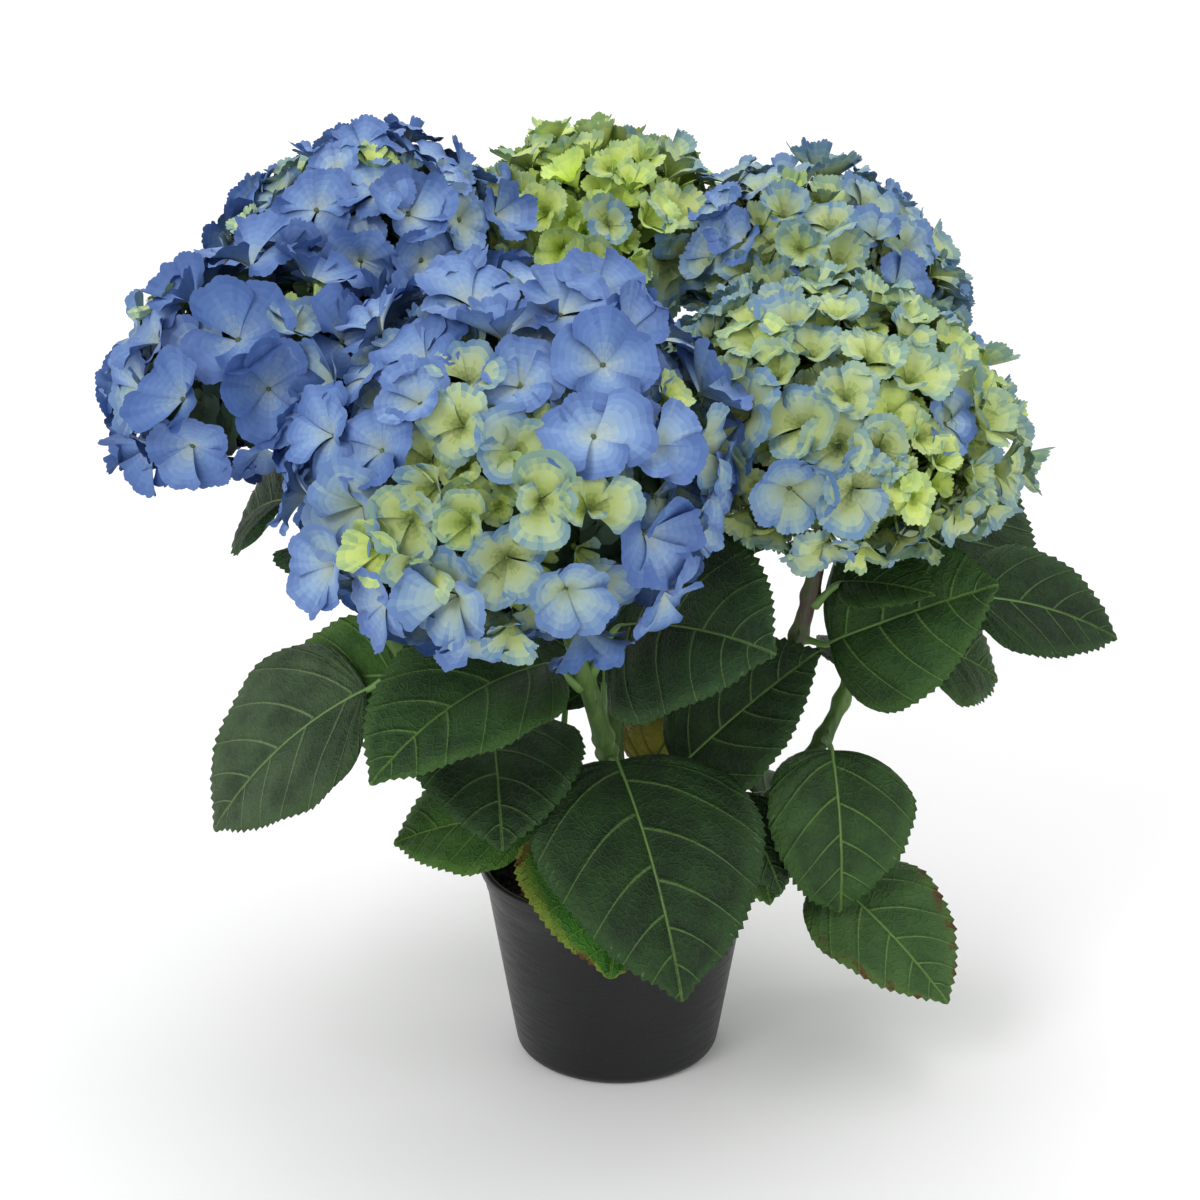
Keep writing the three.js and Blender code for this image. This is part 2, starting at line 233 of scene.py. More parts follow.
def mesh_object(name, points, quads, materials, slots=None, uvs=None, marks=None):
    """A smooth-shaded object from arrays: points, faces of four corners and each face's material.

    uvs has a place for each point, in the UV map named OFBake, and marks holds named
    vectors for each point, which materials read.
    """
    mesh = bpy.data.meshes.new(name)
    mesh.vertices.add(len(points))
    mesh.vertices.foreach_set("co", (np.asarray(points) * MM).astype(np.float32).ravel())
    mesh.loops.add(quads.size)
    mesh.loops.foreach_set("vertex_index", quads.astype(np.int32).ravel())
    mesh.polygons.add(len(quads))
    mesh.polygons.foreach_set("loop_start", np.arange(0, quads.size, 4, dtype=np.int32))
    mesh.update(calc_edges=True)
    for each in materials:
        mesh.materials.append(each)
    if slots is not None:
        mesh.polygons.foreach_set("material_index", np.asarray(slots, np.int32))
    if uvs is not None:
        layer = mesh.uv_layers.new(name="OFBake")
        layer.data.foreach_set("uv", uvs[quads.ravel()].astype(np.float32).ravel())
    for key, values in (marks or {}).items():
        mark = mesh.attributes.new(key, "FLOAT_VECTOR", "POINT")
        mark.data.foreach_set("vector", values.astype(np.float32).ravel())
    mesh.shade_smooth()
    made = bpy.data.objects.new(name, mesh)
    bpy.context.scene.collection.objects.link(made)
    return made


class Gathering:
    """Points, faces and face materials of many small pieces, joined into one object."""

    def __init__(self):
        self.points, self.quads, self.slots, self.count = [], [], [], 0

    def add(self, points, quads, slots):
        self.points.append(points)
        self.quads.append(quads + self.count)
        self.slots.append(np.broadcast_to(slots, len(quads)))
        self.count += len(points)

    def add_tube(self, path, radii, sides, slot):
        points, quads = tube(path, radii, sides)
        self.add(points, quads, slot)

    def build(self, name, materials):
        """The joined object, with only the materials that its faces use."""
        slots = np.concatenate(self.slots)
        used, slots = np.unique(slots, return_inverse=True)
        kept = [materials[i] for i in used]
        return mesh_object(name, np.concatenate(self.points), np.concatenate(self.quads), kept, slots)


# ---- materials ----

def colour(red, green, blue):
    """A linear colour from display values of 0 to 255."""
    shares = [max(0.0, min(1.0, value / 255)) for value in (red, green, blue)]
    linear = [s / 12.92 if s <= 0.04045 else ((s + 0.055) / 1.055) ** 2.4 for s in shares]
    return (*linear, 1.0)


def plain_material(name, tint, roughness, **settings):
    """A Principled material with plain values on its own sockets. tint is a display colour."""
    made = bpy.data.materials.new(name)
    made.use_nodes = True
    shader = made.node_tree.nodes["Principled BSDF"]
    shader.inputs["Base Color"].default_value = colour(*tint)
    shader.inputs["Roughness"].default_value = roughness
    for key, value in settings.items():
        shader.inputs[key.replace("_", " ")].default_value = value
    return made


def material_set(name, roughness, tints):
    """Plain materials that a rule deals out face by face."""
    return [plain_material(f"{name}_{i}", tint, roughness) for i, tint in enumerate(tints)]


def worked_material(name, tint, roughness, **settings):
    """A plain material to link patterns to, with its tree and shader."""
    made = plain_material(name, tint, roughness, **settings)
    return made, made.node_tree, made.node_tree.nodes["Principled BSDF"]


def object_place(tree):
    return add_node(tree, "TexCoord").outputs["Object"]


def add_node(tree, kind, settings=None, **inputs):
    """A shader node. Its inputs are values or other nodes' outputs, by their names."""
    made = tree.nodes.new("ShaderNode" + kind)
    for key, value in (settings or {}).items():
        setattr(made, key, value)
    for key, value in inputs.items():
        feed(tree, made.inputs[key.replace("_", " ")], value)
    return made


def feed(tree, socket, value):
    if isinstance(value, bpy.types.NodeSocket):
        tree.links.new(value, socket)
    else:
        socket.default_value = value


def maths(tree, operation, *values):
    made = add_node(tree, "Math", {"operation": operation})
    for socket, value in zip(made.inputs, values):
        feed(tree, socket, value)
    return made.outputs[0]


def between(tree, value, low, high, start=0.0, end=1.0):
    """value taken smoothly from start at low to end at high."""
    made = add_node(tree, "MapRange", {"interpolation_type": "SMOOTHSTEP"}, Value=value,
                    From_Min=low, From_Max=high, To_Min=start, To_Max=end)
    return made.outputs["Result"]


def blend(tree, share, first, second):
    """A colour taken from first to second by share."""
    made = add_node(tree, "Mix", {"data_type": "RGBA"})
    colours = [socket for socket in made.inputs if socket.type == "RGBA"]
    feed(tree, made.inputs["Factor"], share)
    feed(tree, colours[0], first)
    feed(tree, colours[1], second)
    return next(socket for socket in made.outputs if socket.type == "RGBA")


def noise(tree, place, scale, detail=3.0, roughness=0.55):
    made = add_node(tree, "TexNoise", Vector=place, Scale=scale, Detail=detail, Roughness=roughness)
    return made.outputs["Fac"]


def scaled(tree, place, up):
    """Places with their height times up, so that a pattern stretches or gathers along Z."""
    return add_node(tree, "Mapping", Vector=place, Scale=(1.0, 1.0, up)).outputs["Vector"]


def cell_edges(tree, place, scale):
    """How far a place is from the border of its cell."""
    made = add_node(tree, "TexVoronoi", {"feature": "DISTANCE_TO_EDGE"}, Vector=place, Scale=scale)
    return made.outputs["Distance"]


def mark(tree, name):
    """The three numbers of a named vector that the mesh carries."""
    read = add_node(tree, "Attribute", {"attribute_name": name})
    parts = add_node(tree, "SeparateXYZ", Vector=read.outputs["Vector"])
    return read.outputs["Vector"], parts.outputs


def relief(tree, shader, height, depth, strength=1.0):
    """Bumps the surface by height, which runs from 0 to 1, times depth in metres."""
    bump = add_node(tree, "Bump", Height=height, Distance=depth, Strength=strength)
    tree.links.new(bump.outputs["Normal"], shader.inputs["Normal"])


def leaf_material(name, dark, light, vein, edge, edge_reach, blotches=0.0, vein_share=0.85):
    """A blade's face: mottled green, paler veins that lie in grooves, small puckers between them."""
    made, tree, shader = worked_material(name, dark, 0.5, Specular_IOR_Level=0.3)
    dark, light, vein, edge = (colour(*tint) for tint in (dark, light, vein, edge))
    _, (lateral, out, off_midrib) = mark(tree, "veins")
    flat, _ = mark(tree, "flat")

    phase = maths(tree, "FRACT", maths(tree, "ADD", lateral, 0.5))
    apart = maths(tree, "ABSOLUTE", maths(tree, "SUBTRACT", phase, 0.5))
    reach = between(tree, out, 0.0, 1.0, 1.0, 0.35)
    on_lateral = between(tree, maths(tree, "DIVIDE", apart, reach), 0.012, 0.045, 1.0, 0.0)
    on_midrib = between(tree, off_midrib, 0.45, 1.15, 1.0, 0.0)
    on_vein = maths(tree, "MAXIMUM", on_lateral, on_midrib)
    near_vein = maths(tree, "MAXIMUM", between(tree, apart, 0.0, 0.13, 1.0, 0.0), on_midrib)

    net = between(tree, cell_edges(tree, flat, 0.24), 0.0, 0.16, 1.0, 0.0)
    fine_net = between(tree, cell_edges(tree, flat, 0.75), 0.0, 0.2, 1.0, 0.0)
    mottle = noise(tree, flat, 0.045, 4.0)
    grain = noise(tree, flat, 0.9, 2.0)

    tone = between(tree, mottle, 0.34, 0.68)
    lamina = blend(tree, tone, dark, light)
    lamina = blend(tree, maths(tree, "MULTIPLY", net, 0.07), lamina, vein)
    lamina = blend(tree, maths(tree, "MULTIPLY", fine_net, 0.08), lamina, light)
    margin = between(tree, maths(tree, "ADD", out, maths(tree, "MULTIPLY", grain, 0.08)), edge_reach, 1.04)
    lamina = blend(tree, margin, lamina, edge)
    if blotches:
        spots = noise(tree, flat, 0.11, 3.0)
        spotted = between(tree, spots, 0.6 - blotches / 4, 0.66 - blotches / 4)
        rotten = maths(tree, "MULTIPLY", spotted, margin)
        lamina = blend(tree, rotten, lamina, colour(88, 52, 22))
    veined = blend(tree, maths(tree, "MULTIPLY", on_vein, vein_share), lamina, vein)
    tree.links.new(veined, shader.inputs["Base Color"])

    puckers = maths(tree, "MULTIPLY", maths(tree, "ADD", net, maths(tree, "MULTIPLY", fine_net, 0.4)), -0.4)
    groove = maths(tree, "MULTIPLY", near_vein, -0.9)
    relief(tree, shader, maths(tree, "ADD", puckers, groove), 0.0011, 0.9)
    gloss = between(tree, grain, 0.3, 0.7, 0.5, 0.66)
    tree.links.new(gloss, shader.inputs["Roughness"])
    return made


def bark_material(name, base, other, speck, specks, depth):
    """A stem's skin: two tones that run along it, and raised pores of another colour."""
    made, tree, shader = worked_material(name, base, 0.55)
    place = object_place(tree)
    base, other, speck = (colour(*tint) for tint in (base, other, speck))
    long = scaled(tree, place, 0.18)
    streaks = noise(tree, long, 260, 4.0)
    patches = noise(tree, place, 28, 2.0)
    tone = maths(tree, "ADD", maths(tree, "MULTIPLY", streaks, 0.6), maths(tree, "MULTIPLY", patches, 0.4))
    skin = blend(tree, between(tree, tone, 0.4, 0.6), base, other)
    pores = add_node(tree, "TexVoronoi", Vector=long, Scale=420)
    on_pore = between(tree, pores.outputs["Distance"], 0.16, 0.34, 1.0, 0.0)
    picked = between(tree, noise(tree, place, 120), 0.62 - specks, 0.68 - specks)
    shown = maths(tree, "MULTIPLY", on_pore, picked)
    tree.links.new(blend(tree, shown, skin, speck), shader.inputs["Base Color"])
    relief(tree, shader, maths(tree, "ADD", streaks, maths(tree, "MULTIPLY", shown, 0.5)), depth)
    tree.links.new(between(tree, streaks, 0.3, 0.7, 0.45, 0.68), shader.inputs["Roughness"])
    return made


def pot_material():
    """Charcoal moulded plastic: satin, a little dusty, with fine scuffs round it."""
    made, tree, shader = worked_material("pot_plastic", (20, 20, 22), 0.4, Specular_IOR_Level=0.4)
    place = object_place(tree)
    clouds = noise(tree, place, 16, 4.0)
    dust = noise(tree, place, 900, 2.0)
    tint = blend(tree, between(tree, clouds, 0.35, 0.7), colour(10, 10, 12), colour(19, 19, 21))
    specks = maths(tree, "MULTIPLY", between(tree, dust, 0.68, 0.74), 0.35)
    tree.links.new(blend(tree, specks, tint, colour(80, 78, 74)), shader.inputs["Base Color"])
    scuffs = noise(tree, scaled(tree, place, 14.0), 55, 3.0)
    tree.links.new(between(tree, scuffs, 0.3, 0.72, 0.34, 0.52), shader.inputs["Roughness"])
    relief(tree, shader, noise(tree, place, 520, 2.0), 0.00012)
    return made


def soil_material():
    """Moist peat: near black, with browner fibres and crumbs."""
    made, tree, shader = worked_material("growing_medium_peat", (38, 29, 22), 0.95)
    place = object_place(tree)
    crumbs = noise(tree, place, 340, 5.0)
    damp = noise(tree, place, 45, 3.0)
    tint = blend(tree, between(tree, crumbs, 0.35, 0.7), colour(24, 18, 14), colour(74, 55, 38))
    tint = blend(tree, between(tree, damp, 0.45, 0.7), tint, colour(30, 23, 18))
    tree.links.new(tint, shader.inputs["Base Color"])
    relief(tree, shader, crumbs, 0.0012)
    tree.links.new(between(tree, damp, 0.4, 0.7, 0.95, 0.7), shader.inputs["Roughness"])
    return made


# Each look of a blade's face: its dark and light tint, its veins' and its margin's, where the
# margin begins, and then its share of brown spots and how much its veins show.
LEAF_LOOKS = {
    "deep": ((20, 42, 18), (33, 64, 25), (88, 118, 62), (44, 74, 34), 0.84),
    # a paler, greyer green for a blade that catches the light: painted sheen
    "painted_sheen": ((42, 62, 38), (66, 88, 56), (108, 132, 88), (62, 88, 50), 0.84),
    "mid": ((34, 62, 28), (50, 84, 36), (100, 134, 66), (58, 92, 38), 0.82),
    "bright": ((46, 84, 28), (66, 106, 38), (112, 146, 70), (76, 116, 42), 0.8),
    "old": ((38, 90, 20), (58, 114, 28), (100, 138, 58), (112, 130, 38), 0.88, 0.2),
    "yellow": ((140, 146, 56), (196, 180, 84), (150, 100, 58), (140, 104, 50), 0.6, 0.2),
    "scorched": ((50, 82, 40), (66, 100, 48), (108, 140, 74), (78, 108, 48), 0.86, 0.25),
    "underside": ((74, 98, 66), (90, 116, 78), (120, 144, 96), (84, 110, 70), 0.85, 0.0, 0.9),
}

# A sepal's colour from its claw to its edge, one row for each whole age.
AGES = (
    ((164, 190, 60), (204, 227, 96), (214, 235, 120), (186, 212, 122)),
    ((128, 150, 64), (190, 208, 114), (200, 213, 132), (142, 172, 136)),
    # the row for age 2 has a darker olive claw and a dimmer cream beside it: partly the sepals' own green
    # centre, partly painted shade of deep cups at a head's centre
    ((118, 134, 74), (174, 187, 126), (162, 184, 158), (98, 134, 168)),
    ((182, 194, 176), (150, 178, 206), (116, 147, 196), (86, 117, 175)),
    ((150, 172, 190), (97, 130, 184), (81, 114, 173), (64, 96, 157)),
)
AGE_STEPS = 3  # palette rows for each whole age
RINGS = 12  # palette columns from claw to edge


def petal_colour(age, out):
    """Display colour of a sepal of that age at a share of the way out."""
    stops = np.array(AGES, float)
    low = min(int(age), len(AGES) - 2)
    row = stops[low] * (1 - (age - low)) + stops[low + 1] * (age - low)
    places = (0.0, 0.38, 0.68, 1.0)
    return [float(np.interp(out, places, row[:, i])) for i in range(3)]


def petal_palette():
    """Plain materials for sepals, by age and then by ring."""
    made = []
    for row in range((len(AGES) - 1) * AGE_STEPS + 1):
        for ring in range(RINGS):
            shade = petal_colour(row / AGE_STEPS, ring / (RINGS - 1))
            made.append(plain_material(f"sepal_{row}_{ring}", shade, 0.58))
    return made


# ---- pot and growing medium ----

def arc(centre, radius, start, end, steps):
    """[out, up] points on an arc, from start to end in degrees."""
    turns = np.radians(np.linspace(start, end, steps))
    return [(centre[0] + radius * math.cos(t), centre[1] + radius * math.sin(t)) for t in turns]


def lathe(profile, segments):
    """Points and faces of a profile of [out, up] points turned about Z; its ends close on the axis."""
    turns = np.linspace(0, TURN, segments, endpoint=False)
    profile = np.array(profile, float)
    points = np.stack([
        np.outer(profile[:, 0], np.cos(turns)),
        np.outer(profile[:, 0], np.sin(turns)),
        np.repeat(profile[:, 1:], segments, axis=1),
    ], axis=-1).reshape(-1, 3)
    return points, grid_quads(len(profile), segments, closed=True)


def build_pot():
    """The pot's shell: rounded foot, wall with a shallow step, and a rolled lip over a groove."""
    parts = ("height", "foot", "rim", "foot_round", "wall")
    height, foot, rim, corner, thick = (POT[part] for part in parts)
    lip_foot = height - POT["lip_height"]
    bead = 1.6
    bead_out = POT["lip"] - bead
    inside = rim - thick
    foot_flat = foot - corner

    def wall(up):
        return foot + 0.6 + (rim - foot - 0.6) * (up - corner) / (lip_foot - corner)

    profile = [(0.4, 1.2), (foot_flat - 12, 1.2), (foot_flat - 10, 0), (foot_flat, 0)]
    profile += arc((foot_flat, corner), corner + 0.4, -80, -8, 8)
    profile += [(wall(up), up) for up in np.linspace(12, lip_foot - 9, 8)]
    profile += [(wall(lip_foot - 8) + 0.5, lip_foot - 8), (wall(lip_foot - 3) + 0.5, lip_foot - 3)]
    profile += [(rim - 0.2, lip_foot - 1.6), (rim - 0.2, lip_foot - 0.4)]
    profile += arc((bead_out, lip_foot + bead), bead, -90, 0, 5)
    profile += arc((bead_out, height - bead), bead, 0, 110, 7)
    profile += [(inside + 1.2, height - 0.6), (inside + 0.3, height - 1.6), (inside, lip_foot - 2)]
    profile += [(foot - thick, corner + 3), (foot_flat - 1, thick + 1), (0.4, thick + 1)]
    points, quads = lathe(profile, 160)
    take_place(mesh_object("pot_shell", points, quads, [pot_material()]), "pot")


def build_growing_medium():
    """The medium's crumbly surface, and the loose chips of bark that lie on it."""
    draw = np.random.default_rng(5)
    share = (SOIL_TOP - POT["foot_round"]) / (POT["height"] - POT["lip_height"] - POT["foot_round"])
    radius = POT["foot"] + (POT["rim"] - POT["foot"]) * share - POT["wall"] - 0.5
    rings, segments = 46, 150
    out = np.linspace(0.004, 1, rings)[:, None] * radius
    turn = np.linspace(0, TURN, segments, endpoint=False)[None, :]
    across, deep = out * np.cos(turn), out * np.sin(turn)
    lumps = 1.3 * np.sin(across / 5.1 + 2 * np.sin(deep / 7.3)) * np.cos(deep / 6.3 - 0.6)
    crumbs = draw.normal(0, 0.45, across.shape)
    top = np.stack([across, deep, SOIL_TOP - 2.4 + lumps + crumbs], axis=-1).reshape(-1, 3)
    skirt = top[-segments:] * [0.97, 0.97, 1] - [0, 0, 14]
    floor = skirt * [0.01, 0.01, 1]
    points = np.concatenate([top, skirt, floor])
    bed = mesh_object("growing_medium_bed", points, grid_quads(rings + 2, segments, closed=True),
                      [soil_material()])
    take_place(bed, "growing_medium")

    chips = Gathering()
    cube = np.array([[x, y, z] for z in (-1, 1) for x, y in ((-1, -1), (1, -1), (1, 1), (-1, 1))], float)
    faces = np.array([[3, 2, 1, 0], [4, 5, 6, 7], [0, 1, 5, 4], [1, 2, 6, 5], [2, 3, 7, 6], [3, 0, 4, 7]])
    for _ in range(520):
        size = draw.uniform(1.1, 3.4)
        shape = cube * [size, size * draw.uniform(0.35, 0.7), size * draw.uniform(0.15, 0.35)]
        shape *= draw.uniform(0.7, 1.15, (8, 1))
        where = radius * 0.96 * math.sqrt(draw.uniform(0.02, 1))
        about = draw.uniform(0, TURN)
        up = unit([draw.normal(0, 0.35), draw.normal(0, 0.35), 1])
        placed = shape @ frame_about(up, draw.uniform(0, TURN)).T
        height = SOIL_TOP - draw.uniform(0.2, 1.8)
        chips.add(placed + [where * math.cos(about), where * math.sin(about), height], faces,
                  draw.integers(0, 3))
    tones = material_set("chip", 0.9, ((62, 44, 30), (92, 66, 44), (40, 30, 24)))
    take_place(chips.build("bark_chips", tones), None)


# ---- crown and stems ----

def dome_frame(stem):
    """The dome's own axes as columns: Z turned straight onto the dome's axis."""
    axis = unit(stem["axis"])
    turn = np.cross([0, 0, 1], axis)
    skew = np.array([[0, -turn[2], turn[1]], [turn[2], 0, -turn[0]], [-turn[1], turn[0], 0]])
    return np.eye(3) + skew + skew @ skew / (1 + axis[2])


def stem_top(stem):
    return np.array(stem["centre"]) - unit(stem["axis"]) * (DOME_FLOOR * stem["dome"] + GAP)


def stem_point(stem, share):
    """Points on the stem's centre line at shares from its foot to its top."""
    share = np.atleast_1d(np.asarray(share, float))[:, None]
    foot = np.array([*stem["foot"], STEM_FOOT], float)
    low, high = np.array(stem["guides"], float)
    return cubic(share, foot, low, high, stem_top(stem))


def stem_heading(stem, share):
    step = 0.001
    return unit(stem_point(stem, share + step) - stem_point(stem, share - step))[0]


def stem_radius(stem, share):
    return stem["radius"] * (1 - (1 - STEM_TOP_SHARE) * share)


def build_stem(key, material):
    """A tapering stem with ribs, swollen joints where leaves leave it, and a collar under each."""
    stem = STEMS[key]
    rings, sides = 130, 28
    share = np.linspace(0, 1, rings)
    path = stem_point(stem, share)
    path[0] -= [0, 0, 3]
    radius = stem_radius(stem, share)
    for leaf in LEAVES[key]:
        away = (share - leaf[0]) * 260
        radius = radius + 1.3 * np.exp(-((away / 3.4) ** 2)) - 0.35 * np.exp(-(((away + 6) / 2.2) ** 2))
    radius = radius + 3.0 * np.exp(-share * 22)
    turn = np.linspace(0, TURN, sides, endpoint=False)
    draw = np.random.default_rng(200 + ord(key))
    ribs = 0.16 * np.sin(6 * turn)[None, :] + draw.normal(0, 0.05, (rings, sides))
    points, quads = tube(path, radius[:, None] + ribs, sides)
    made = mesh_object(f"stem_{key}_bark", points, quads, [material])
    take_place(made, f"stem_{key}")


def build_crown():
    """The old wood at the foot: a knobbly boss with flaking bark."""
    draw = np.random.default_rng(9)
    rings, sides = 34, 120
    share = np.linspace(0, 1, rings)[:, None]
    turn = np.linspace(0, TURN, sides, endpoint=False)[None, :]
    profile = CROWN["foot"] + (CROWN["top"] - CROWN["foot"]) * share ** 0.8
    knobs = 2.0 * np.sin(5 * turn + 4 * share) + 1.2 * np.sin(11 * turn - 6 * share)
    flakes = 0.5 * np.sin(31 * turn + 3 * np.sin(9 * share)) + draw.normal(0, 0.25, (rings, sides))
    out = (profile + knobs + flakes) * np.sqrt(1 - (share * 0.985) ** 8)
    height = SOIL_TOP - 2 + share * (CROWN["height"] + 1.5) + 1.2 * np.sin(4 * turn) * share
    points = np.stack([out * np.cos(turn), out * np.sin(turn), np.broadcast_to(height, out.shape)], axis=-1)
    made = mesh_object("crown_wood", points.reshape(-1, 3), grid_quads(rings, sides, closed=True),
                       [bark_material("crown_bark", (92, 74, 52), (64, 52, 38), (130, 112, 84),
                                      0.0, 0.0012)])
    take_place(made, "crown")


# ---- leaves ----

VEIN_ENDS = (0.12, 0.29, 0.47, 0.63, 0.76, 0.86, 0.93)  # where lateral veins meet the margin
ACROSS = 9  # columns of faces in each half of a blade
TOOTH = 1.5
BLADE_THICK = 0.5
PETIOLE_SIDES = 10


def half_width(share, width):
    """Half a blade's width: round at the base, widest at 0.36, drawn out to an acute tip."""
    share = np.clip(share, 0, 1)
    ovate = np.sqrt(share) * (1 - share) ** 0.9
    widest = math.sqrt(0.36) * 0.64 ** 0.9
    return width / 2 * ovate / widest * (1 - 0.3 * np.exp(-(((share - 0.95) / 0.05) ** 2)))


def margin_shares(length, width):
    """Shares of the length at even steps round the margin, two to a tooth."""
    share = np.linspace(0, 1, 400) ** 1.5
    half = half_width(share, width)
    around = np.concatenate([[0], np.cumsum(np.hypot(np.diff(share) * length, np.diff(half)))])
    lines = 2 * int(round(around[-1] / 2 / 2.7))
    return np.interp(np.linspace(0.02, 0.997, lines + 1) * around[-1], around, share)


def heading_at(elevation):
    """Unit vectors at elevations in radians, in the leaf's upright plane."""
    return np.stack([np.cos(elevation), np.zeros_like(elevation), np.sin(elevation)], axis=-1)


def on_blade(leaf, share, across, height):
    """Places on a blade in the leaf's frame: share along it, across to its left, height over it."""
    rise, petiole, pitch, droop, length, _, roll = (float(value) for value in leaf[2:9])
    share, across, height = np.broadcast_arrays(share, across, height)
    pitch, droop, roll = math.radians(pitch), math.radians(droop), math.radians(roll)
    half_turn = droop * share / 2
    reach = length * share * np.sinc(half_turn / math.pi)
    foot = petiole * np.array([math.cos(math.radians(rise)), 0, math.sin(math.radians(rise))])
    centre = foot + heading_at(pitch - half_turn) * reach[..., None]
    along = heading_at(pitch - droop * share)
    left = np.array([0.0, 1.0, 0.0])
    side = left * math.cos(roll) + np.cross(along, left) * math.sin(roll)
    up = np.cross(along, side)
    lift = np.abs(across) * math.tan(math.radians(BLADE_FOLD)) + height
    return centre + side * across[..., None] + up * lift[..., None]


def leaf_place(stem, leaf):
    """Where a petiole leaves the stem's surface, and the stem's radius there."""
    share, azimuth, rise = leaf[:3]
    along = stem_heading(stem, share)
    out = direction(azimuth, rise)
    out = unit(out - along * (out @ along))
    radius = stem_radius(stem, share)
    return stem_point(stem, share)[0] + out * (radius + PETIOLE_RADIUS + GAP), radius


def blade_arrays(leaf, draw):
    """A blade's two faces as grids that follow its veins, with their marks and places in the map."""
    length, width = leaf[6], leaf[7]
    ends = margin_shares(length, width)
    starts = 0.05 * ends + 0.95 * np.clip((ends - 0.38) / 0.62, 0, 1) ** 1.3
    starts = np.minimum(starts, ends - 0.002)
    steps = np.array([0, 0.03, 0.1, 0.2, 0.32, 0.45, 0.6, 0.75, 0.89, 1.0])
    steps = np.concatenate([-steps[:0:-1], steps])
    out = np.abs(steps)[None, :]
    side = np.sign(steps)[None, :]
    share = starts[:, None] + (ends - starts)[:, None] * (0.58 * out + 0.42 * out ** 2)
    half = half_width(ends, width)[:, None]
    across = half * steps[None, :]

    tooth = (np.arange(len(ends)) % 2)[:, None] * (out == 1) * np.clip(half / 8, 0, 1)
    size = TOOTH * (0.75 + 0.5 * draw.random(tooth.shape))
    across = across + side * tooth * size * 0.8
    share = share + tooth * size / length

    lateral = np.interp(ends, (0, *VEIN_ENDS, 1), range(len(VEIN_ENDS) + 2))[:, None]
    lateral = lateral + np.where(side < 0, draw.uniform(0.1, 0.3), 0.0) * np.clip(lateral - 1, 0, 1)
    quilt = (1 - np.cos(TURN * lateral)) / 2 * np.sin(math.pi * out) ** 0.8
    phase = draw.uniform(0, TURN, 2)
    wave = np.where(side > 0, np.sin(3.1 * TURN * share + phase[0]),
                    np.sin(2.7 * TURN * share + phase[1]))
    belly = 0.055 * half * np.sin(math.pi * out)
    height = 1.1 * quilt + belly + 0.03 * half * wave * out ** 2 - 0.05 * half * out ** 4
    height = height + draw.normal(0, 0.06, height.shape)
    height[:, ACROSS] -= 0.3

    top = on_blade(leaf, share, across, height)
    thick = BLADE_THICK * (1 - 0.6 * out ** 4)
    under = on_blade(leaf, share, across, height - thick)
    rows, columns = share.shape
    count = rows * columns
    upper = grid_quads(rows, columns)
    lower = grid_quads(rows, columns, first=count)[:, ::-1]
    index = np.arange(count).reshape(rows, columns)
    border = np.concatenate([index[0], index[1:, -1], index[-1, -2::-1], index[-2:0:-1, 0]])
    following = np.roll(border, -1)
    rim = np.stack([border, border + count, following + count, following], axis=-1)

    flat = np.stack([share * length, across, np.full(share.shape, draw.uniform(0, 900))], axis=-1)
    veins = np.stack([np.broadcast_to(lateral, share.shape), np.broadcast_to(out, share.shape),
                      np.abs(across)], axis=-1)
    place = np.stack([0.24 + across / width * 0.42, 0.02 + share * 0.94], axis=-1)
    return dict(
        points=np.concatenate([top.reshape(-1, 3), under.reshape(-1, 3)]),
        quads=np.concatenate([upper, lower, rim]),
        slots=np.concatenate([np.zeros(len(upper)), np.ones(len(lower)), np.zeros(len(rim))]),
        flat=np.tile(flat.reshape(-1, 3), (2, 1)),
        veins=np.tile(veins.reshape(-1, 3), (2, 1)),
        uvs=np.concatenate([place.reshape(-1, 2), place.reshape(-1, 2) + [0.47, 0]]),
    )


def petiole_arrays(leaf, inset, first):
    """The petiole from inside the stem, and the midrib's ridge that goes on under the blade.

    first is the number of its first point.
    """
    rise = math.radians(leaf[2])
    pitch = math.radians(leaf[4])
    ways = heading_at(np.array([rise, pitch]))
    length = leaf[3]
    start = -ways[0] * inset
    foot = ways[0] * length - np.array([0, 0, 1.2])
    share = np.linspace(0, 1, 12)[:, None]
    handle = (length + inset) * 0.45
    stalk = cubic(share, start, start + ways[0] * handle, foot - ways[1] * handle * 0.6, foot)
    along = np.linspace(0.06, 0.9, 16)
    ridge_radius = np.interp(along, (0, 0.3, 0.9), (1.5, 1.0, 0.35))
    ridge = on_blade(leaf, along, 0.0, -BLADE_THICK - 0.35 * ridge_radius)
    stalk_radius = np.interp(share[:, 0], (0, 0.12, 0.3, 1), (3.4, 2.7, 1.9, 1.7))
    radii = np.concatenate([stalk_radius, ridge_radius])
    points, quads = tube(np.concatenate([stalk, ridge]), radii, PETIOLE_SIDES, first)
    rows = np.linspace(0.02, 0.98, len(points) // PETIOLE_SIDES)
    place = np.stack(np.meshgrid(np.linspace(0.955, 0.995, PETIOLE_SIDES), rows), axis=-1)
    plain = np.zeros(points.shape)
    return dict(points=points, quads=quads, slots=np.full(len(quads), 2), flat=plain, veins=plain,
                uvs=place.reshape(-1, 2))


def build_leaf(key, number, leaf, materials):
    stem = STEMS[key]
    draw = np.random.default_rng(1000 + 40 * ord(key) + number)
    blade = blade_arrays(leaf, draw)
    place, radius = leaf_place(stem, leaf)
    petiole = petiole_arrays(leaf, radius * 0.7 + PETIOLE_RADIUS, len(blade["points"]))
    whole = {part: np.concatenate([blade[part], petiole[part]]) for part in blade}
    turn = math.radians(leaf[1])
    about_z = np.array([
        [math.cos(turn), -math.sin(turn), 0],
        [math.sin(turn), math.cos(turn), 0],
        [0, 0, 1],
    ])
    made = mesh_object(f"blade_{key}{number}", whole["points"] @ about_z.T + place, whole["quads"],
                       [materials[leaf[9]], materials["underside"], materials["petiole"]],
                       whole["slots"], whole["uvs"], dict(veins=whole["veins"], flat=whole["flat"]))
    take_place(made, f"leaf_{key}{number}")


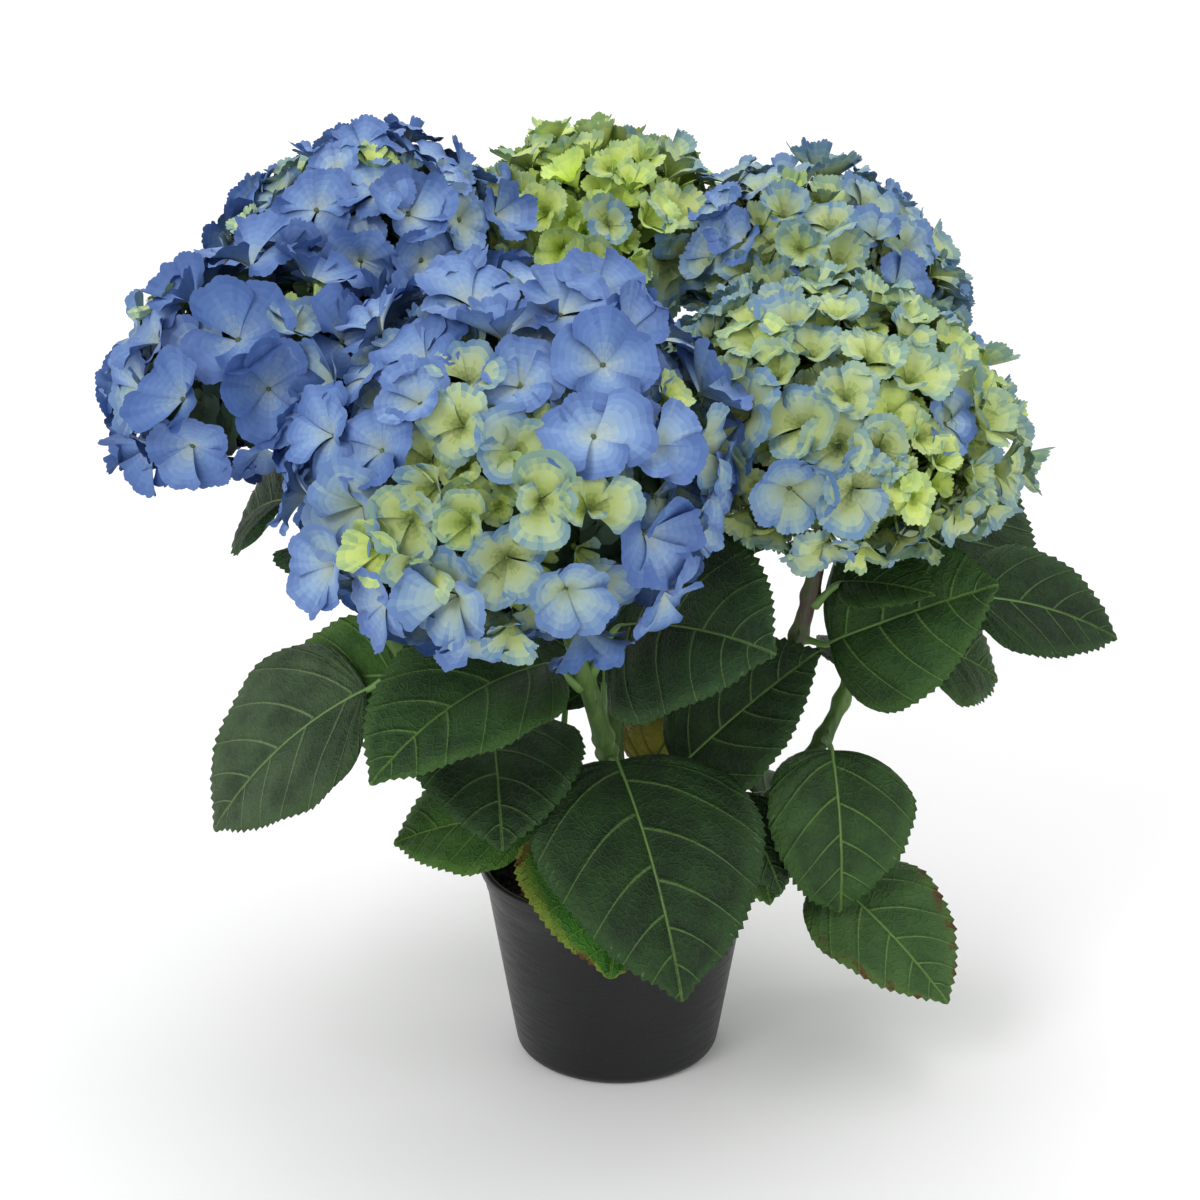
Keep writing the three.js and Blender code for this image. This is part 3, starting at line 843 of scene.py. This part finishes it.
def build_leaves():
    materials = {look: leaf_material(f"leaf_{look}", *values) for look, values in LEAF_LOOKS.items()}
    materials["petiole"] = plain_material("petiole_green", (104, 140, 72), 0.5)
    for key, leaves in LEAVES.items():
        for number, leaf in enumerate(leaves, start=1):
            build_leaf(key, number, leaf, materials)


# ---- heads of blossom ----

# Display greens of the eyes of open and of young florets, then of the filling's small florets, in
# a green or pale head and in a blue one, darker there as painted shade of the blue sepals over them.
EYE_TINTS = ((78, 94, 58), (128, 150, 66))
BRIGHT_FILLING = ((86, 116, 42), (112, 142, 54), (72, 100, 40))
SHADE_PAINTED_FILLING = ((56, 78, 46), (64, 92, 62), (70, 96, 74))
FILLING = dict(tries=2500, lowest=104, depths=(0.45, 0.7), apart=11, sizes=(10, 14))
BLUE_AGE = 3  # a head older than this is blue
SEPAL_SPREAD = 57  # half the angle that a sepal opens to
SINK = 0.3  # how far a floret sits inside the dome, as a share of its width
SINK_YOUNGER = 0.045  # and for each age it lags behind its head, as a share of the radius
# Layers of florets: tries, how much deeper as a share of the radius, share of their full width,
# how much younger, and the least distance to any other as a share of both widths.
LAYERS = ((3600, 0.0, 1.0, 0.0, 0.25), (3000, 0.12, 0.68, 0.7, 0.23))


def dome_place(stem, way, depth):
    """The point of the dome's surface in a direction from its centre, and the normal there."""
    axes = dome_frame(stem)
    local = way @ axes
    rise = DOME_RISE if local[2] > 0 else DOME_DROP
    radii = stem["dome"] * np.array([1, 1, rise])
    reach = 1 / norm(local / radii)
    point = local * reach * depth
    normal = unit(point / radii ** 2)
    return np.array(stem["centre"]) + axes @ point, axes @ normal


def character(head, way, draw):
    """A floret's width and age in a direction, from the head's own and its patches."""
    size, age = head["size"], head["age"]
    for heading, rise, spread, patch_size, patch_age in head["patches"]:
        away = math.degrees(math.acos(np.clip(way @ direction(heading, rise), -1, 1)))
        share = float(np.clip((spread * 1.25 - away) / (spread * 0.5), 0, 1))
        size += (patch_size - size) * share
        age += (patch_age - age) * share
    size *= draw.uniform(0.86, 1.14)
    return size, float(np.clip(age + draw.normal(0, 0.28), 0, 4))


def walled_off(point, key, slack):
    """True if a neighbouring dome has this point, by more than slack."""
    own = STEMS[key]
    centre = np.array(own["centre"])
    for other_key, other in STEMS.items():
        if other_key == key:
            continue
        between_centres = np.array(other["centre"]) - centre
        apart = norm(between_centres)
        if apart > own["dome"] + other["dome"]:
            continue
        reach = (apart ** 2 + own["dome"] ** 2 - other["dome"] ** 2) / (2 * apart)
        if (point - centre) @ between_centres / apart > reach + slack:
            return True
    return False


def random_way(axes, lowest, draw):
    """A random direction no further than lowest degrees from a dome's axis."""
    up = draw.uniform(math.cos(math.radians(lowest)), 1)
    around = draw.uniform(0, TURN)
    level = math.sqrt(1 - up * up)
    return axes @ np.array([level * math.cos(around), level * math.sin(around), up])


def scatter_florets(key, head, draw):
    """Florets as (point, normal, width, age): the showy ones first, then all that find room.

    A last layer of smaller, greener ones sits deeper, wherever the first ones leave a gap.
    """
    stem = STEMS[key]
    axes = dome_frame(stem)
    florets = []

    def depth(size, age):
        return 1 - SINK * size / stem["dome"] - SINK_YOUNGER * max(0, head["age"] - age)

    for heading, rise, size, age in head["showy"]:
        point, normal = dome_place(stem, direction(heading, rise), depth(size, age))
        florets.append((point, normal, size, age))
    for tries, deeper, share, younger, room in LAYERS:
        for _ in range(tries):
            way = random_way(axes, 108, draw)
            size, age = character(head, way, draw)
            point, normal = dome_place(stem, way, depth(size, age) - deeper)
            size *= share
            if walled_off(point, key, 0.2 * size):
                continue
            apart = (norm(point - other[0]) / (size + other[2]) for other in florets)
            if min(apart, default=9) > room:
                florets.append((point, normal, size, max(0, age - younger)))
    return florets


def sepal_points(length, cup, flare, draw):
    """One sepal as a grid of points, claw at the origin, opening along X with its face to Z."""
    rows = int(np.clip(round(length / 3.1), 4, 9))
    columns = 2 * int(np.clip(round(length / 3.4), 3, 7)) + 1
    reach = np.linspace(0.05, 1, rows)[:, None]
    side = np.linspace(-1, 1, columns)[None, :]
    bend = np.radians(cup + (flare - cup) * reach[:, 0])
    step = np.diff(reach[:, 0], prepend=0.0)
    ahead = np.cumsum(np.cos(bend) * step)[:, None]
    lift = np.cumsum(np.sin(bend) * step)[:, None]

    phase = draw.uniform(0, TURN, 3)
    notch = 1 - draw.uniform(0, 0.08) * np.exp(-((side / 0.2) ** 2))
    edge = (1 - 0.3 * np.abs(side) ** 2.6) * notch
    edge = edge * (1 + 0.02 * np.sin(3 * math.pi * side + phase[2]) * reach ** 3)
    turn = np.radians(SEPAL_SPREAD) * side * (0.8 + 0.2 * reach)
    across = length * ahead * edge * np.sin(turn)
    along = length * ahead * edge * np.cos(turn)

    wave = 0.06 * np.sin(1.7 * math.pi * side + phase[0]) * reach ** 2
    ruffle = 0.03 * np.sin(4.6 * math.pi * side + phase[1]) * reach ** 5
    ribs = 0.008 * np.cos(7 * math.pi * side + phase[2]) * reach
    hollow = draw.uniform(0.02, 0.2) * side ** 2 * reach ** 1.5
    curl = draw.normal(0.0, 0.07) * np.clip((reach - 0.6) / 0.4, 0, 1) ** 2
    height = length * (lift * edge + wave + ruffle + ribs + hollow + curl)
    return np.stack([along, across, height], axis=-1)


def sepal_teeth(sepal, depth, draw):
    """Two more points over each step of a sepal's edge, which a face joins to it as a tooth."""
    rim = sepal[-1]
    out = unit(rim - sepal[-2])
    reach = depth * draw.uniform(0.5, 1.5, (len(rim) - 1, 1))
    first = rim[:-1] * 0.7 + rim[1:] * 0.3 + out[:-1] * reach
    second = rim[:-1] * 0.3 + rim[1:] * 0.7 + out[1:] * reach * 0.8
    return np.concatenate([first, second])


def add_floret(blossom, eyes, place, draw, teeth):
    """Four sepals, now and then five, round a small eye."""
    point, normal, width, age = place
    tilt = float(np.clip(draw.normal(0, 17), -26, 26))
    roll = draw.uniform(0, TURN)
    lean = frame_about(normal, draw.uniform(0, TURN))
    facing = lean[:, 2] * math.cos(math.radians(tilt)) + lean[:, 0] * math.sin(math.radians(tilt))
    axes = frame_about(facing, roll)
    open_share = float(np.clip(age / 3.2, 0, 1))
    cup = 64 - 28 * open_share + draw.normal(0, 8)
    flare = 42 - 32 * open_share + draw.normal(0, 12)
    count = 5 if draw.random() < 0.07 else 4
    uneven = draw.uniform(0.84, 1.12, 2)
    point = point + normal * draw.normal(0, 0.05) * width
    for i in range(count):
        length = width / 2 * uneven[i % 2] * draw.uniform(0.94, 1.06) * (1.34 - 0.34 * open_share)
        inner = i % 2
        sepal = sepal_points(length, cup + 9 * inner + draw.normal(0, 7), flare + draw.normal(0, 10), draw)
        rows, columns = sepal.shape[:2]
        sepal = np.concatenate([sepal.reshape(-1, 3), sepal_teeth(sepal, teeth, draw)])
        twist = math.radians(draw.uniform(4, 11))
        turn = TURN * i / count + draw.normal(0, 0.07)
        across = sepal[..., 1] * math.cos(twist)
        height = sepal[..., 2] + sepal[..., 1] * math.sin(twist) + 0.35 * inner
        along = sepal[..., 0]
        local = np.stack([
            along * math.cos(turn) - across * math.sin(turn),
            along * math.sin(turn) + across * math.cos(turn),
            height,
        ], axis=-1)
        rim = (rows - 1) * columns + np.arange(columns - 1)
        tooth = rows * columns + np.arange(columns - 1)
        fringe = np.stack([rim, rim + 1, tooth + columns - 1, tooth], axis=-1)
        slots = sepal_slots(rows, columns, age, draw)
        blossom.add(local @ axes.T + point, np.concatenate([grid_quads(rows, columns), fringe]),
                    np.concatenate([slots, slots[1 - columns:]]))
    eyes.add_tube([point - axes[:, 2] * 1.5, point, point + axes[:, 2] * 1.6],
                  [1.1, 1.9, 1.3], 6, 0 if age > 1.2 else 1)


def sepal_slots(rows, columns, age, draw):
    """A palette colour for each face of a sepal: rings from claw to edge, feathered in streaks."""
    out = (np.arange(rows - 1) + 0.5)[:, None] / (rows - 1)
    side = np.abs(np.linspace(-1, 1, columns - 1))[None, :]
    streak = draw.normal(0, 0.07, (1, columns - 1))
    grain = draw.normal(0, 0.025, (rows - 1, columns - 1))
    shade = out ** 1.15 * (1 + 0.12 * side ** 3) + streak * out + grain + draw.normal(0, 0.05)
    ring = np.round(np.clip(shade, 0, 1) * (RINGS - 1)).astype(int)
    tone = np.clip(round((age + draw.normal(0, 0.12)) * AGE_STEPS), 0, (len(AGES) - 1) * AGE_STEPS)
    return (int(tone) * RINGS + ring).ravel()


def add_filling(buds, stem, key, florets, draw):
    """Small green florets that fill the dome behind the open ones. Returns where they stand."""
    axes = dome_frame(stem)
    # a blue head's filling takes the darker greens: painted shade of the sepals over it
    shade = len(EYE_TINTS) + (len(BRIGHT_FILLING) if HEADS[key]["age"] > BLUE_AGE else 0)
    side = np.linspace(-1, 1, 5)[None, :]
    reach = np.linspace(0.08, 1, 3)[:, None]
    spread = np.radians(46) * side
    placed_at = []
    for _ in range(FILLING["tries"]):
        way = random_way(axes, FILLING["lowest"], draw)
        point, normal = dome_place(stem, way, draw.uniform(*FILLING["depths"]))
        if walled_off(point, key, 2):
            continue
        if any((point - other) @ facing > -5 and norm(point - other) < 0.5 * size
               for other, facing, size, _ in florets):
            continue
        if any(norm(point - other) < FILLING["apart"] for other in placed_at):
            continue
        placed_at.append(point)
        axes_here = frame_about(unit(normal + draw.normal(0, 0.25, 3)), draw.uniform(0, 6.3))
        length = draw.uniform(*FILLING["sizes"])
        edge = length * reach * (1 - 0.25 * side ** 2)
        height = np.broadcast_to(length * (0.75 * reach - 0.35 * reach ** 2), edge.shape)
        for i in range(4):
            turn = math.pi / 2 * i
            local = np.stack([edge * np.cos(spread + turn), edge * np.sin(spread + turn), height], axis=-1)
            buds.add(local.reshape(-1, 3) @ axes_here.T + point, grid_quads(3, 5),
                     shade + draw.integers(0, len(BRIGHT_FILLING)))
    return placed_at


def add_stalks(stalks, stem, tips, draw):
    """Main rays leave the stem's top and fork; a pedicel goes on from a fork to each floret."""
    root = stem_top(stem)
    centre = np.array(stem["centre"], float)
    axes = dome_frame(stem)
    forks = []
    for ring, (polar, count) in enumerate(((20, 3), (52, 6), (84, 8))):
        for i in range(count):
            around = TURN * (i + 0.5 * ring) / count + draw.normal(0, 0.12)
            angle = math.radians(polar + draw.normal(0, 4))
            way = np.array([math.sin(angle) * math.cos(around), math.sin(angle) * math.sin(around),
                            math.cos(angle)])
            fork = centre + axes @ (way * stem["dome"] * [0.5, 0.5, 0.42])
            forks.append(fork)
            bow = (root + fork) / 2 + axes[:, 2] * 4 + draw.normal(0, 1.5, 3)
            stalks.add_tube(bent(root, bow, fork, 7), np.linspace(2.6, 1.5, 7), 7, 0)
    forks = np.array(forks)
    for tip, normal in tips:
        fork = forks[np.argmin(norm(forks - tip, axis=1))]
        bow = (fork + tip) / 2 - normal * 5 + draw.normal(0, 1.2, 3)
        stalks.add_tube(bent(fork, bow, tip, 5), np.linspace(1.3, 0.75, 5), 5, draw.integers(0, 2))


def bent(start, middle, end, steps):
    """Points on an even curve from start to end that leans towards middle."""
    share = np.linspace(0, 1, steps)[:, None]
    return (1 - share) ** 2 * start + 2 * share * (1 - share) * middle + share ** 2 * end


def build_head(key, palette, greens, stalk_greens):
    head, stem = HEADS[key], STEMS[key]
    draw = np.random.default_rng(head["seed"])
    blossom, buds, stalks = Gathering(), Gathering(), Gathering()
    florets = scatter_florets(key, head, draw)
    for floret in florets:
        add_floret(blossom, buds, floret, draw, head["teeth"])
    inner = add_filling(buds, stem, key, florets, draw)
    tips = [(point - normal, normal) for point, normal, _, _ in florets]
    centre = np.array(stem["centre"], float)
    tips += [(point, unit(point - centre)) for point in inner]
    add_stalks(stalks, stem, tips, draw)

    take_place(blossom.build(f"blossom_{key}", palette), f"flower_{key}")
    take_place(buds.build(f"buds_{key}", greens), None)
    take_place(stalks.build(f"stalks_{key}", stalk_greens), None)


def build_heads():
    palette = petal_palette()
    greens = material_set("bud", 0.6, (*EYE_TINTS, *BRIGHT_FILLING, *SHADE_PAINTED_FILLING))
    stalk_greens = material_set("pedicel", 0.55, ((98, 120, 64), (112, 136, 72)))
    for key in HEADS:
        build_head(key, palette, greens, stalk_greens)


# ---- studio ----

CAMERA = dict(place=(-9.6, -1762.2, 977.3), tilt=22, view=19.17)


def build_studio():
    scene = bpy.context.scene
    scene.view_settings.view_transform = "Standard"
    world = bpy.data.worlds.new("studio")
    world.use_nodes = True
    world.node_tree.nodes["Background"].inputs["Color"].default_value = (1, 1, 1, 1)
    world.node_tree.nodes["Background"].inputs["Strength"].default_value = 0.74
    scene.world = world

    bpy.ops.mesh.primitive_plane_add(size=14)
    floor = bpy.context.object
    floor.name = "floor"
    floor.data.materials.append(plain_material("studio_floor", (250, 250, 250), 0.9))

    # place, size, power in watts
    lamps = {"key": ((-2200, -3000, 3000), 1.8, 64), "fill": ((3000, -2200, 1800), 2.4, 16),
             "top": ((200, 600, 3800), 2.4, 40), "back": ((-600, 3400, 2200), 2.4, 20)}
    target = np.array([0, 0, 280.0])
    for name, (place, size, power) in lamps.items():
        light = bpy.data.lights.new(name, "AREA")
        light.energy = power
        light.size = size
        lamp = bpy.data.objects.new(name, light)
        axes = frame_about(np.array(place) - target)
        lamp.matrix_world = placed(axes, place)
        scene.collection.objects.link(lamp)

    camera = bpy.data.objects.new("camera", bpy.data.cameras.new("camera"))
    camera.data.angle = math.radians(CAMERA["view"])
    camera.data.clip_end = 50
    camera.location = np.array(CAMERA["place"]) * MM
    camera.rotation_euler = (math.radians(90 - CAMERA["tilt"]), 0, 0)
    scene.collection.objects.link(camera)
    scene.camera = camera


def placed(axes, place):
    """A matrix from three columns and a place in millimetres."""
    rows = [[*axes[i], place[i] * MM] for i in range(3)]
    return [[row[j] for row in (*rows, [0, 0, 0, 1])] for j in range(4)]


# ---- the whole plant ----

def build_stems():
    green = bark_material("stem_green", (84, 116, 50), (66, 96, 42), (28, 34, 20), 0.1, 0.0005)
    purple = bark_material("stem_purple", (72, 48, 50), (70, 92, 44), (28, 20, 24), 0.05, 0.0005)
    for key in STEMS:
        build_stem(key, purple if key == "f" else green)


build_studio()
build_pot()
build_growing_medium()
build_crown()
build_stems()
build_leaves()
build_heads()
